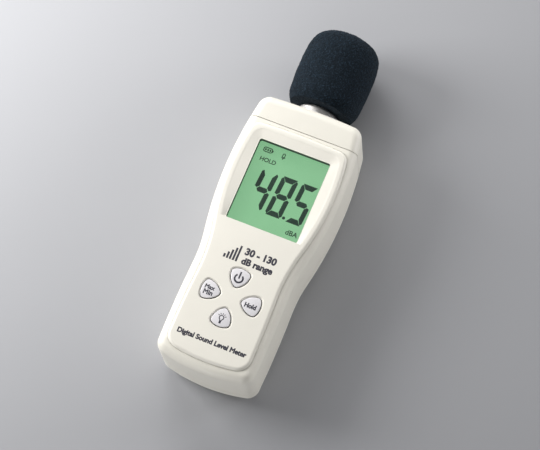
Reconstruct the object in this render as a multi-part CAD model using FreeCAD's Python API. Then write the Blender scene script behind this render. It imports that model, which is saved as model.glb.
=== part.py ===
import FreeCAD, Part
import math
import os

# Pocket sound level meter, lying on its back.
# Millimetres. X across the case, Y along it towards the microphone, Z out of the front face.
# The origin is under the middle of the whole object, on the plane that it lies on.

# ---- Driving dimensions -------------------------------------------------------------------

# Case
CASE_BOTTOM = -83.0
CASE_TOP = 41.0
CASE_FACE = 32.8
SPLIT_Z = 9.6
SEAM_Y = 28.95
SEAM_GAP = 0.3
WALL = 2.0
FACE_WALL = 2.8
FRONT_ROUND = 4.0
BACK_ROUND = 5.0

# Raised front panel
PANEL_FACE = 34.0
PANEL_SEAT = 32.2
PANEL_GAP = 0.1
PANEL_ROUND = 1.5

# Display window: the opening in the panel and the dished surround above and beside it
WINDOW_Y = 1.3
WINDOW_W = 32.3
WINDOW_H = 37.9
WINDOW_CORNER = 1.0
DISH_INSET = 3.1
DISH_CORNER = 4.4
DISH_FLOOR = 33.15
GASKET_W = 1.45
GASKET_TOP = 32.75

# Keys: four rounded triangles on a cross, each pointing at the cross's centre
KEYS_Y = -49.6
KEY_ARM = 9.5
KEY_REACH = 4.5
KEY_BELLY = 3.6
KEY_CORNER = 1.4
KEY_TOP = 34.4
KEY_DOME = 30.0
KEY_GAP = 0.32
KEY_FLANGE = 0.7
KEY_TRAVEL = 0.8
KEY_DISH_W = 0.6
KEY_DISH_DEPTH = 0.5
MAT_TOP = 27.3
KEYS = {"key_power": 90, "key_max_min": 180, "key_light": 270, "key_hold": 0}

# Stack behind the window, from the front: glass, light guide, circuit board
GLASS_FACE = 28.5
GLASS_BACK = 26.3
GUIDE_BACK = 23.4
BOARD_TOP = 22.6
BOARD_THICK = 1.6
BOARD_LOW_Y = -66.0
BOARD_HIGH_Y = 22.4

# Microphone
MIC_Z = 17.35
MIC_R = 6.35
MIC_BORE_R = 5.4
MIC_TIP = 71.0
MIC_TAIL = 33.5
FOAM_BOTTOM = 45.5
FOAM_TOP = 82.7
FOAM_BORE_R = 6.45
COLLAR_R = 8.9
COLLAR_TOP = FOAM_BOTTOM - 0.5

# Battery bay: three AAA cells side by side
CELL_R = 5.2
CELL_LENGTH = 44.5
CELL_PITCH = 11.0
CELL_Z = 7.7
BAY_HALF_W = 16.6
BAY_LOW_Y = -73.9
BAY_HIGH_Y = -24.3
BAY_TOP = 14.5
BAY_WALL = 1.2
DOOR_THICK = 1.8
DOOR_LOW_Y = -73.2
DOOR_HIGH_Y = -19.8
DOOR_GAP = 0.3

# Screws
CASE_SCREWS = [(-19.0, 26.2), (19.0, 26.2), (-13.0, -77.0), (13.0, -77.0)]
BOARD_SCREWS = [(-21.3, 8.0), (21.3, 8.0), (-14.5, -62.0), (14.5, -62.0)]
SCREW_SEAT = 6.0
COLUMN_TOP = BAY_TOP
EAR_TOP = 16.4

V = FreeCAD.Vector
os.makedirs("parts", exist_ok=True)


# ---- Shape helpers ------------------------------------------------------------------------

def block(x0, x1, y0, y1, z0, z1):
    return Part.makeBox(x1 - x0, y1 - y0, z1 - z0, V(x0, y0, z0))


def post(x, y, radius, z0, z1):
    return Part.makeCylinder(radius, z1 - z0, V(x, y, z0), V(0, 0, 1))


def barrel(radius, y0, y1, x=0.0, z=MIC_Z):
    return Part.makeCylinder(radius, y1 - y0, V(x, y0, z), V(0, 1, 0))


def ring_y(outer, inner, y0, y1):
    return barrel(outer, y0, y1).cut(barrel(inner, y0 - 1, y1 + 1))


def both_sides(shape):
    return [shape, shape.mirror(V(0, 0, 0), V(1, 0, 0))]


def arc(centre, radius, a, b, z):
    """The shorter arc from a to b of the circle about centre, in the plane at z."""
    dx = (a[0] - centre[0]) + (b[0] - centre[0])
    dy = (a[1] - centre[1]) + (b[1] - centre[1])
    k = radius / math.hypot(dx, dy)
    middle = V(centre[0] + dx * k, centre[1] + dy * k, z)
    return Part.Arc(V(a[0], a[1], z), middle, V(b[0], b[1], z)).toShape()


def toward(centre, point, radius):
    """The point at the given distance from centre, on the ray to another point."""
    dx = point[0] - centre[0]
    dy = point[1] - centre[1]
    k = radius / math.hypot(dx, dy)
    return (centre[0] + dx * k, centre[1] + dy * k)


def edges_at(shape, z):
    """Edges that lie in the level plane at z."""
    return [e for e in shape.Edges
            if abs(e.BoundBox.ZMin - z) < 1e-4 and abs(e.BoundBox.ZMax - z) < 1e-4]


def rounded_block(x0, x1, y0, y1, z0, z1, radius):
    body = block(x0, x1, y0, y1, z0, z1)
    upright = [e for e in body.Edges if e.BoundBox.ZLength > 0.9 * (z1 - z0)]
    return body.makeFillet(radius, upright)


class WaistedOutline:
    """Plan outline with a bulge, a waist and a second bulge down each side, as three tangent
    arcs, and one arc across each end. Each of upper, waist and lower is (y, half width)."""

    def __init__(self, upper, waist, lower, waist_radius, top, bottom):
        self.y_top, self.end_top, self.corner_top = top
        self.y_bottom, self.end_bottom, self.corner_bottom = bottom
        r_upper = self.bulge_radius(upper, waist) - waist_radius
        r_lower = self.bulge_radius(lower, waist) - waist_radius
        self.upper = ((upper[1] - r_upper, upper[0]), r_upper)
        self.waist = ((waist[1] + waist_radius, waist[0]), waist_radius)
        self.lower = ((lower[1] - r_lower, lower[0]), r_lower)
        self.top = ((0.0, self.y_top - self.end_top), self.end_top)
        self.bottom = ((0.0, self.y_bottom + self.end_bottom), self.end_bottom)
        self.high = self.corner_centre(self.upper, self.top, self.corner_top, 1)
        self.low = self.corner_centre(self.lower, self.bottom, self.corner_bottom, -1)

    @staticmethod
    def bulge_radius(bulge, waist):
        """Sum of the two radii for which the bulge's arc is tangent to the waist's."""
        run = bulge[0] - waist[0]
        rise = bulge[1] - waist[1]
        return (run * run + rise * rise) / (2 * rise)

    @staticmethod
    def corner_centre(side, end, radius, sign):
        """Centre of the corner arc that touches both the side arc and the end arc."""
        (x1, y1), r1 = side
        (x2, y2), r2 = end
        a, b = r1 - radius, r2 - radius
        span = math.hypot(x2 - x1, y2 - y1)
        along = (a * a - b * b + span * span) / (2 * span)
        off = math.sqrt(a * a - along * along)
        ux, uy = (x2 - x1) / span, (y2 - y1) / span
        options = [(x1 + along * ux - s * off * uy, y1 + along * uy + s * off * ux) for s in (1, -1)]
        return max((p for p in options if p[0] > 0), key=lambda p: sign * p[1])

    def side_points(self, inset):
        """Joints between the arcs of the right side, from the bottom end to the top end."""
        lower, waist, upper = self.lower, self.waist, self.upper
        return [
            toward(self.bottom[0], self.low, self.bottom[1] - inset),
            toward(lower[0], self.low, lower[1] - inset),
            toward(lower[0], waist[0], lower[1] - inset),
            toward(upper[0], waist[0], upper[1] - inset),
            toward(upper[0], self.high, upper[1] - inset),
            toward(self.top[0], self.high, self.top[1] - inset),
        ]

    def face(self, inset, z):
        right = self.side_points(inset)
        arcs = [
            (self.low, self.corner_bottom - inset),
            (self.lower[0], self.lower[1] - inset),
            (self.waist[0], self.waist[1] + inset),
            (self.upper[0], self.upper[1] - inset),
            (self.high, self.corner_top - inset),
        ]
        edges = [arc(c, r, right[i], right[i + 1], z) for i, (c, r) in enumerate(arcs)]
        left = [(-x, y) for x, y in right]
        edges.append(arc(self.top[0], self.top[1] - inset, right[-1], left[-1], z))
        for i in reversed(range(len(arcs))):
            (cx, cy), r = arcs[i]
            edges.append(arc((-cx, cy), r, left[i + 1], left[i], z))
        edges.append(arc(self.bottom[0], self.bottom[1] - inset, left[0], right[0], z))
        return Part.Face(Part.Wire(edges))

    def prism(self, inset, z0, z1):
        return self.face(inset, z0).extrude(V(0, 0, z1 - z0))

    def form(self, inset, z0, z1, back_round, front_round):
        """The prism with its back and front edges rounded."""
        body = self.prism(inset, z0, z1)
        body = body.makeFillet(front_round, edges_at(body, z1))
        return body.makeFillet(back_round, edges_at(body, z0))


CASE = WaistedOutline(
    upper=(7.3, 26.05), waist=(-37.7, 21.8), lower=(-58.7, 22.2), waist_radius=67.0,
    top=(CASE_TOP, 300.0, 5.5), bottom=(CASE_BOTTOM, 77.0, 5.5),
)
PANEL = WaistedOutline(
    upper=(5.8, 23.6), waist=(-39.7, 17.95), lower=(-67.7, 18.7), waist_radius=76.0,
    top=(27.6, 300.0, 4.6), bottom=(-78.7, 77.0, 6.5),
)
CASE_FORM = CASE.form(0, 0, CASE_FACE, BACK_ROUND, FRONT_ROUND)
CASE_HOLLOW = CASE.form(WALL, WALL, CASE_FACE - FACE_WALL, 3.0, 3.0)


def key_face(direction, spread, z):
    """A key's outline, grown by spread: three bellied sides and three round corners.
    The direction is the angle of the arm that the key stands on, and the key points back."""
    cx = KEY_ARM * math.cos(math.radians(direction))
    cy = KEYS_Y + KEY_ARM * math.sin(math.radians(direction))
    reach = KEY_REACH - KEY_CORNER
    belly = KEY_BELLY - KEY_CORNER
    back = (belly * belly - reach * reach) / (reach - 2 * belly)
    side_r = KEY_BELLY + back + spread

    def polar(distance, degrees):
        a = math.radians(degrees)
        return (cx + distance * math.cos(a), cy + distance * math.sin(a))

    edges = []
    for turn in (180, 300, 60):
        a = direction + turn
        corner = polar(reach, a)
        before = polar(-back, a - 60)
        after = polar(-back, a + 60)
        following = polar(reach, a + 120)
        start = toward(before, corner, side_r)
        end = toward(after, corner, side_r)
        edges.append(arc(corner, KEY_CORNER + spread, start, end, z))
        edges.append(arc(after, side_r, end, toward(after, following, side_r), z))
    return Part.Face(Part.Wire(edges))


def key_prism(direction, spread, z0, z1):
    return key_face(direction, spread, z0).extrude(V(0, 0, z1 - z0))


def key_centre(direction):
    a = math.radians(direction)
    return (KEY_ARM * math.cos(a), KEYS_Y + KEY_ARM * math.sin(a))


def window_block(grow, z0, z1, corner):
    half_w = WINDOW_W / 2 + grow
    half_h = WINDOW_H / 2 + grow
    return rounded_block(-half_w, half_w, WINDOW_Y - half_h, WINDOW_Y + half_h, z0, z1, corner)


def lead(points, diameter):
    """A round wire along straight runs joined by tangent arcs, each as large as its runs allow."""
    knots = [V(*p) for p in points]
    edges = []
    start = knots[0]
    for i in range(1, len(knots) - 1):
        back = (knots[i - 1] - knots[i]).normalize()
        ahead = (knots[i + 1] - knots[i]).normalize()
        shorter = min(knots[i].distanceToPoint(knots[i - 1]), knots[i].distanceToPoint(knots[i + 1]))
        trim = 0.45 * shorter
        turn = math.pi - back.getAngle(ahead)
        radius = trim / math.tan(turn / 2)
        entry = knots[i] + back * trim
        leave = knots[i] + ahead * trim
        inward = (back + ahead).normalize()
        to_centre = math.hypot(radius, trim)
        middle = knots[i] + inward * (to_centre - radius)
        edges.append(Part.LineSegment(start, entry).toShape())
        edges.append(Part.Arc(entry, middle, leave).toShape())
        start = leave
    edges.append(Part.LineSegment(start, knots[-1]).toShape())
    path = Part.Wire(edges)
    section = Part.Wire(Part.makeCircle(diameter / 2, knots[0], knots[1] - knots[0]))
    tube = path.makePipeShell([section], True, False)
    expected = math.pi * diameter ** 2 / 4 * path.Length
    print("lead volume over length times section: %.3f" % (tube.Volume / expected))
    return tube


# ---- Case ---------------------------------------------------------------------------------

def make_front_housing():
    """Deep shell: side walls, front face with the panel's seat, screw bosses."""
    keep = block(-40, 40, CASE_BOTTOM - 5, SEAM_Y - SEAM_GAP / 2, SPLIT_Z + SEAM_GAP / 2, 50)
    shell = CASE_FORM.common(keep).cut(CASE_HOLLOW)
    bosses = [post(x, y, 2.7, EAR_TOP + 0.05, CASE_FACE - 2.0) for x, y in CASE_SCREWS[:2]]
    bosses += [post(x, y, 2.7, COLUMN_TOP + 0.1, CASE_FACE - 2.0) for x, y in CASE_SCREWS[2:]]
    bosses += [post(x, y, 2.2, BOARD_TOP + 0.05, CASE_FACE - 2.0) for x, y in BOARD_SCREWS]
    ledges = both_sides(block(21.3, 24.6, 6.9, 9.1, BOARD_TOP + 3, CASE_FACE - 2.0))
    ledges += both_sides(block(14.5, 20.4, -63.1, -60.9, BOARD_TOP + 3, CASE_FACE - 2.0))
    shell = shell.multiFuse([b.common(CASE_FORM) for b in bosses + ledges])
    pilots = [post(x, y, 1.0, 10, 26) for x, y in CASE_SCREWS]
    pilots += [post(x, y, 0.75, 20, 27.5) for x, y in BOARD_SCREWS]
    seat = PANEL.prism(-PANEL_GAP, PANEL_SEAT, CASE_FACE + 5)
    openings = [window_block(GASKET_W + 0.1, 25, PANEL_SEAT + 1, 1.5)]
    openings += [key_prism(a, KEY_FLANGE + 0.4, 25, PANEL_SEAT + 1) for a in KEYS.values()]
    return shell.cut(pilots + [seat] + openings).removeSplitter()


def make_rear_cover():
    """Shallow tray with the lip that locates the housing, screw columns and the battery bay."""
    keep = block(-40, 40, CASE_BOTTOM - 5, SEAM_Y - SEAM_GAP / 2, -1, SPLIT_Z - SEAM_GAP / 2)
    tray = CASE_FORM.common(keep).cut(CASE_HOLLOW)
    lip_ends = block(-40, 40, CASE_BOTTOM, SEAM_Y - 3.5, 0, 50)
    lip_inside = CASE.prism(WALL + 1.1, 6, 30)
    lip = CASE.prism(WALL + 0.12, 6.5, SPLIT_Z + 1.5).cut(lip_inside).common(lip_ends)
    foot = CASE.prism(WALL - 0.3, 6.5, SPLIT_Z - 0.6).cut(lip_inside).common(lip_ends)
    columns = [post(x, y, 3.2, 1.0, SPLIT_Z - 0.5).common(CASE_FORM).common(keep) for x, y in CASE_SCREWS]
    columns += [post(x, y, 2.6, SPLIT_Z - 1.0, COLUMN_TOP) for x, y in CASE_SCREWS]
    bay_x = BAY_HALF_W + BAY_WALL
    bay = block(-bay_x, bay_x, BAY_LOW_Y - BAY_WALL, BAY_HIGH_Y + BAY_WALL, 1, BAY_TOP)
    room = block(-BAY_HALF_W, BAY_HALF_W, BAY_LOW_Y, BAY_HIGH_Y, 0, BAY_TOP - BAY_WALL)
    pocket = block(-6.5, 6.5, BAY_HIGH_Y, -18.0, 1, 9)
    pocket_room = block(-5.5, 5.5, BAY_HIGH_Y + BAY_WALL, -19.2, 0, 7.8)
    tray = tray.multiFuse([lip, foot, bay, pocket] + columns)
    doorway = block(-BAY_HALF_W - DOOR_GAP, BAY_HALF_W + DOOR_GAP, DOOR_LOW_Y - DOOR_GAP,
                    DOOR_HIGH_Y + DOOR_GAP, -1, WALL)
    slots = both_sides(block(2.7, 7.3, BAY_LOW_Y - BAY_WALL - 0.5, BAY_LOW_Y + 1, 1.9, 5.0))
    thumb = Part.makeSphere(9.0, V(0, -16.5, -7.4))
    wells = [post(x, y, 2.4, -1, SCREW_SEAT) for x, y in CASE_SCREWS]
    wells += [post(x, y, 1.35, -1, 30) for x, y in CASE_SCREWS]
    label_seat = rounded_block(-17.3, 17.3, -8.3, 16.3, -1, 0.25, 2.0)
    return tray.cut([room, pocket_room, doorway, thumb, label_seat] + slots + wells).removeSplitter()


def make_head_cap():
    """Cover across the top: a shell with a tongue into the housing, two screw ears and the
    hole that the microphone stands in."""
    keep = block(-40, 40, SEAM_Y + SEAM_GAP / 2, CASE_TOP + 5, -1, 50)
    shell = CASE_FORM.common(keep).cut(CASE_HOLLOW)
    outer = CASE.form(WALL + 0.15, WALL + 0.15, CASE_FACE - FACE_WALL - 0.15, 2.9, 2.9)
    inner = CASE.form(WALL + 1.15, WALL + 1.15, CASE_FACE - FACE_WALL - 1.15, 2.0, 2.0)
    tongue = outer.cut(inner).common(block(-40, 40, SEAM_Y - 1.6, SEAM_Y + 4, -1, 50))
    rim = CASE.form(WALL - 0.3, WALL - 0.3, CASE_FACE - FACE_WALL + 0.3, 2.9, 2.9).cut(inner)
    rim = rim.common(block(-40, 40, SEAM_Y + 0.6, SEAM_Y + 4, -1, 50))
    ears = both_sides(block(16.3, 21.7, 23.6, SEAM_Y + 3.5, COLUMN_TOP + 0.05, EAR_TOP))
    web = both_sides(block(16.3, 23.2, SEAM_Y + 0.6, SEAM_Y + 3.5, COLUMN_TOP + 0.05, EAR_TOP))
    boss = barrel(9.4, CASE_TOP - 4.6, CASE_TOP - 1.0)
    shell = shell.multiFuse([tongue, rim, boss] + ears + web)
    holes = [post(x, y, 1.4, 10, 20) for x, y in CASE_SCREWS[:2]]
    clear_of_columns = [post(x, y, 3.5, 1.5, COLUMN_TOP + 0.05) for x, y in CASE_SCREWS[:2]]
    clear_of_bosses = [post(x, y, 3.0, EAR_TOP, 31) for x, y in CASE_SCREWS[:2]]
    bore = barrel(MIC_R + 0.05, 20, CASE_TOP + 5)
    flange_seat = barrel(8.3, 20, CASE_TOP - 3.0)
    return shell.cut(holes + clear_of_columns + clear_of_bosses + [bore, flange_seat]).removeSplitter()


def make_front_panel():
    """Raised plate, dished round the display window and round each key."""
    plate = PANEL.prism(0, PANEL_SEAT + 0.05, PANEL_FACE)
    plate = plate.makeFillet(PANEL_ROUND, edges_at(plate, PANEL_FACE))
    cuts = [window_block(0, 30, 40, WINDOW_CORNER), display_dish()]
    cuts.append(window_block(GASKET_W + 0.05, PANEL_SEAT - 1, GASKET_TOP + 0.05, 1.2))
    for angle in KEYS.values():
        cuts.append(key_prism(angle, KEY_GAP, 30, 40))
        low = key_face(angle, KEY_GAP, PANEL_FACE - KEY_DISH_DEPTH).OuterWire
        high = key_face(angle, KEY_GAP + KEY_DISH_W, PANEL_FACE).OuterWire
        top = key_face(angle, KEY_GAP + KEY_DISH_W, PANEL_FACE + 1).OuterWire
        cuts.append(Part.makeLoft([low, high], True, True))
        cuts.append(Part.makeLoft([high, top], True, True))
    return plate.cut(cuts).removeSplitter()


def dish_wire(inset_side, inset_top, corner, z):
    """Sides parallel to the panel's, a top edge parallel to the panel's, and a bottom edge
    along the window's lower edge."""
    low_y = WINDOW_Y - WINDOW_H / 2
    (cx, cy), r = PANEL.upper
    r -= inset_side
    top_y = PANEL.y_top - inset_top
    low = (cx + math.sqrt(r * r - (low_y - cy) ** 2), low_y)
    inner_r = r - corner
    corner_y = top_y - corner
    corner_x = cx + math.sqrt(inner_r * inner_r - (corner_y - cy) ** 2)
    side = toward((cx, cy), (corner_x, corner_y), r)
    top = (corner_x, top_y)
    mirror = [(-p[0], p[1]) for p in (low, side, top)]
    edges = [
        arc((cx, cy), r, low, side, z),
        arc((corner_x, corner_y), corner, side, top, z),
        Part.LineSegment(V(top[0], top[1], z), V(mirror[2][0], mirror[2][1], z)).toShape(),
        arc((-corner_x, corner_y), corner, mirror[2], mirror[1], z),
        arc((-cx, cy), r, mirror[1], mirror[0], z),
        Part.LineSegment(V(mirror[0][0], mirror[0][1], z), V(low[0], low[1], z)).toShape(),
    ]
    return Part.Wire(edges)


def window_wire(grow, z):
    """The window's outline, with its lower edge kept and its other edges moved out by grow."""
    half = WINDOW_W / 2 + grow
    low_y = WINDOW_Y - WINDOW_H / 2
    top_y = WINDOW_Y + WINDOW_H / 2 + grow
    r = WINDOW_CORNER + grow
    centre_y = top_y - r
    edges = [
        Part.LineSegment(V(half, low_y, z), V(half, centre_y, z)).toShape(),
        arc((half - r, centre_y), r, (half, centre_y), (half - r, top_y), z),
        Part.LineSegment(V(half - r, top_y, z), V(r - half, top_y, z)).toShape(),
        arc((r - half, centre_y), r, (r - half, top_y), (-half, centre_y), z),
        Part.LineSegment(V(-half, centre_y, z), V(-half, low_y, z)).toShape(),
        Part.LineSegment(V(-half, low_y, z), V(half, low_y, z)).toShape(),
    ]
    return Part.Wire(edges)


def display_dish():
    """Slope from the panel's face down to the window, with a softened upper edge."""
    rise = PANEL_FACE - DISH_FLOOR
    wires = [
        window_wire(0.3, DISH_FLOOR),
        dish_wire(DISH_INSET + 0.25, DISH_INSET + 0.25, DISH_CORNER - 0.25, PANEL_FACE - 0.22 * rise),
        dish_wire(DISH_INSET - 0.25, DISH_INSET - 0.25, DISH_CORNER + 0.25, PANEL_FACE - 0.06 * rise),
        dish_wire(DISH_INSET - 0.75, DISH_INSET - 0.75, DISH_CORNER + 0.75, PANEL_FACE),
    ]
    above = dish_wire(DISH_INSET - 0.75, DISH_INSET - 0.75, DISH_CORNER + 0.75, PANEL_FACE + 1)
    return Part.makeLoft(wires, True, True).fuse(Part.makeLoft([wires[-1], above], True, True))


# ---- Display and board --------------------------------------------------------------------

def make_window_gasket():
    top = window_block(GASKET_W, CASE_FACE - FACE_WALL + 0.05, GASKET_TOP, 1.4)
    return top.cut(window_block(0.05, 20, 40, WINDOW_CORNER))


def make_display_window():
    return window_block(2.2, GLASS_FACE + 0.1, CASE_FACE - FACE_WALL - 0.05, 1.5)


def make_display_glass():
    """Two bonded plates: the front one reaches further down, over the connector."""
    front = block(-17.6, 17.6, -21.9, 21.9, GLASS_FACE - 1.1, GLASS_FACE)
    back = block(-17.6, 17.6, -19.2, 21.9, GLASS_BACK, GLASS_FACE - 1.1)
    return front.fuse(back).removeSplitter()


def make_light_guide():
    return block(-17.5, 17.5, -19.2, 19.8, GUIDE_BACK, GLASS_BACK - 0.05)


def make_backlight_lamp():
    return block(-2.2, 2.2, 20.0, 21.6, GUIDE_BACK, GUIDE_BACK + 2.0)


def make_connector_strip():
    return block(-15.0, 15.0, -21.6, -19.6, BOARD_TOP + 0.02, GLASS_FACE - 1.12)


def make_display_frame():
    """Tray that stands on the board and holds the glass, the light guide and the connector."""
    tray = rounded_block(-19.0, 19.0, -23.2, 23.0, BOARD_TOP + 0.05, GLASS_FACE + 0.05, 1.0)
    room = block(-17.7, 17.7, -22.0, 22.0, GUIDE_BACK - 0.05, GLASS_FACE + 1)
    slot = block(-15.2, 15.2, -21.8, -19.4, BOARD_TOP - 1, GUIDE_BACK)
    return tray.cut([room, slot])


def make_circuit_board():
    board = CASE.prism(WALL + 1.0, BOARD_TOP - BOARD_THICK, BOARD_TOP)
    board = board.common(block(-30, 30, BOARD_LOW_Y, BOARD_HIGH_Y, 0, 40))
    return board.cut([post(x, y, 0.95, 15, 30) for x, y in BOARD_SCREWS])


def chip(x, y, length, width, height, pins, pitch):
    """A moulded chip under the board, with its row of legs down each long side."""
    top = BOARD_TOP - BOARD_THICK
    half = width / 2
    body = block(x - half, x + half, y - length / 2, y + length / 2, top - height, top - 0.15)
    legs = []
    for i in range(pins):
        leg_y = y + (i - (pins - 1) / 2) * pitch
        low_z = top - height / 2
        legs.append(block(x - half - 0.9, x + half + 0.9, leg_y - 0.2, leg_y + 0.2, low_z, top))
    return body.multiFuse(legs)


def make_chips():
    return Part.makeCompound([
        chip(0, -6, 12.0, 12.0, 1.6, 12, 0.8),
        chip(-12.5, 10, 5.0, 4.0, 1.6, 4, 1.27),
        chip(12.5, 10, 5.0, 4.0, 1.6, 4, 1.27),
    ])


def make_capacitors():
    top = BOARD_TOP - BOARD_THICK
    cans = []
    for x, y in ((-13.5, -2.0), (13.5, -2.0), (-13.5, -12.0)):
        foot = block(x - 2.6, x + 2.6, y - 2.6, y + 2.6, top - 0.9, top)
        cans.append(foot.fuse(post(x, y, 2.5, top - 5.2, top - 0.9)))
    return Part.makeCompound(cans)


def make_crystal():
    top = BOARD_TOP - BOARD_THICK
    return rounded_block(10.0, 14.0, -16.0, -7.0, top - 3.4, top, 1.6)


def make_trimmer():
    top = BOARD_TOP - BOARD_THICK
    body = block(16.8, 21.2, 12.0, 18.0, top - 3.8, top)
    return body.cut([post(19.0, 15.0, 1.5, top - 5, top - 3.0)]).fuse(
        post(19.0, 15.0, 1.4, top - 3.7, top - 3.0).cut(block(17, 21, 14.8, 15.2, top - 4, top - 3.4)))


# ---- Keys ---------------------------------------------------------------------------------

def make_key(direction):
    """Domed cap, retaining flange and the stem that pushes the mat."""
    cx, cy = key_centre(direction)
    dome = Part.makeSphere(KEY_DOME, V(cx, cy, KEY_TOP - KEY_DOME))
    flange_top = PANEL_SEAT - 0.3
    flange_low = CASE_FACE - FACE_WALL + KEY_TRAVEL + 0.1
    cap = key_prism(direction, 0, flange_top - 0.1, KEY_TOP + 1).common(dome)
    rim = [e for e in cap.Edges if e.BoundBox.ZMin > PANEL_FACE - 0.5]
    cap = cap.makeFillet(0.35, rim)
    flange = key_prism(direction, KEY_FLANGE, flange_low, flange_top)
    stem = post(cx, cy, 2.6, MAT_TOP + 0.1, flange_low + 0.1)
    return cap.multiFuse([flange, stem]).removeSplitter()


def make_key_mat():
    """Silicone sheet on the board with a hollow boot under each key."""
    floor = BOARD_TOP + 0.05
    sheet = post(0, KEYS_Y, 14.8, floor, floor + 0.7)
    boots = []
    rooms = []
    for angle in KEYS.values():
        cx, cy = key_centre(angle)
        axis = V(0, 0, 1)
        boots.append(Part.makeCone(4.2, 3.2, 3.5, V(cx, cy, floor + 0.5), axis))
        boots.append(post(cx, cy, 3.0, floor + 3.9, MAT_TOP))
        rooms.append(Part.makeCone(3.6, 2.6, 3.0, V(cx, cy, floor - 0.1), axis))
    return sheet.multiFuse(boots).cut(rooms).removeSplitter()


# ---- Battery bay --------------------------------------------------------------------------

def cell_span(index):
    """Low and high y of a cell: the outer two lie with the flat end down, the middle one up."""
    spring_room = 3.6
    if index == 1:
        high = BAY_HIGH_Y - spring_room
        return (high - CELL_LENGTH, high)
    low = BAY_LOW_Y + spring_room
    return (low, low + CELL_LENGTH)


def make_battery(index):
    """A cell with its raised contact at the positive end."""
    x = (index - 1) * CELL_PITCH
    low, high = cell_span(index)
    nub = 1.1
    positive_low = index == 1
    body_low = low + nub if positive_low else low
    body_high = high if positive_low else high - nub
    can = Part.makeCylinder(CELL_R, body_high - body_low, V(x, body_low, CELL_Z), V(0, 1, 0))
    can = can.makeFillet(0.6, [e for e in can.Edges if len(e.Vertexes) == 1])
    nub_y = low if positive_low else body_high - 0.1
    return can.fuse(Part.makeCylinder(1.9, nub + 0.1, V(x, nub_y, CELL_Z), V(0, 1, 0)))


def make_battery_springs():
    """Conical springs that press on the flat ends."""
    springs = []
    for index in range(3):
        x = (index - 1) * CELL_PITCH
        low, high = cell_span(index)
        wide, narrow, wire = 3.4, 1.9, 0.25
        gap = 3.6 - 0.75 - 2 * wire
        angle = math.degrees(math.atan((wide - narrow) / gap))
        helix = Part.makeLongHelix(gap / 3.0, gap, narrow, angle, False)
        start = helix.Edges[0].firstVertex().Point if helix.Edges else V(narrow, 0, 0)
        section = Part.Wire(Part.makeCircle(wire, start, V(0, 1, 0)))
        coil = Part.Wire(helix.Edges).makePipeShell([section], True, True)
        away = index != 1
        coil.rotate(V(0, 0, 0), V(1, 0, 0), 90 if away else -90)
        coil.translate(V(x, (low - 0.05 - wire) if away else (high + 0.05 + wire), CELL_Z))
        springs.append(coil)
    return Part.makeCompound(springs)


def make_battery_contacts():
    """Spring plates and contact plates at both ends, two of them joining neighbouring cells.
    Their lower edges stay above the path of the door's hooks."""
    low_y, high_y = BAY_LOW_Y + 0.05, BAY_HIGH_Y - 0.05
    thick = 0.4
    half = 4.2
    low_z, high_z = CELL_Z - 3.2, CELL_Z + half
    plates = [
        block(-CELL_PITCH - half, half, low_y, low_y + thick, low_z, high_z),
        block(CELL_PITCH - half, CELL_PITCH + half, low_y, low_y + thick, low_z, high_z),
        block(-CELL_PITCH - half, -CELL_PITCH + half, high_y - thick, high_y, low_z, high_z),
        block(-half, CELL_PITCH + half, high_y - thick, high_y, low_z, high_z),
    ]
    return Part.makeCompound(plates)


def make_battery_door():
    """Plate with two hooks at its lower edge and a springy latch finger at its upper edge."""
    plate = rounded_block(-BAY_HALF_W, BAY_HALF_W, DOOR_LOW_Y, DOOR_HIGH_Y, 0, DOOR_THICK, 0.8)
    hooks = both_sides(block(3.0, 7.0, DOOR_LOW_Y - 2.2, DOOR_LOW_Y + 2.0, 2.3, 3.2))
    roots = both_sides(block(3.0, 7.0, DOOR_LOW_Y + 0.4, DOOR_LOW_Y + 2.0, 1.0, 3.2))
    finger = block(-4.5, 4.5, -22.2, -21.0, 1.0, 5.5)
    nose = block(-4.0, 4.0, -21.4, -20.5, 3.6, 4.4)
    slits = both_sides(block(4.9, 5.5, -27.0, DOOR_HIGH_Y + 1, -1, 4))
    grips = [block(-7.0, 7.0, y, y + 0.7, -1, 0.35) for y in (-32.0, -30.4, -28.8)]
    return plate.multiFuse(hooks + roots + [finger, nose]).cut(slits + grips).removeSplitter()


# ---- Microphone ---------------------------------------------------------------------------

def make_mic_tube():
    tube = ring_y(MIC_R, MIC_BORE_R, MIC_TAIL, MIC_TIP)
    flange = ring_y(8.1, MIC_BORE_R, CASE_TOP - 4.5, CASE_TOP - 3.05)
    return tube.fuse(flange).removeSplitter()


def make_mic_collar():
    """Clamping ring that stands on the cap round the tube and reaches nearly to the foam."""
    collar = ring_y(COLLAR_R, MIC_R + 0.03, CASE_TOP + 0.05, COLLAR_TOP)
    rim = [e for e in collar.Edges
           if abs(e.BoundBox.YMin - COLLAR_TOP) < 1e-3 and e.BoundBox.XMax > MIC_R + 1]
    return collar.makeFillet(1.0, rim)


def make_mic_capsule():
    can = barrel(4.85, MIC_TIP - 7.4, MIC_TIP - 0.6)
    return can.fuse(barrel(0.6, MIC_TIP - 9.0, MIC_TIP - 7.4, x=-1.3)).fuse(
        barrel(0.6, MIC_TIP - 9.0, MIC_TIP - 7.4, x=1.3))


def make_capsule_holder():
    return ring_y(MIC_BORE_R - 0.03, 4.88, MIC_TIP - 7.8, MIC_TIP - 1.0)


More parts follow.
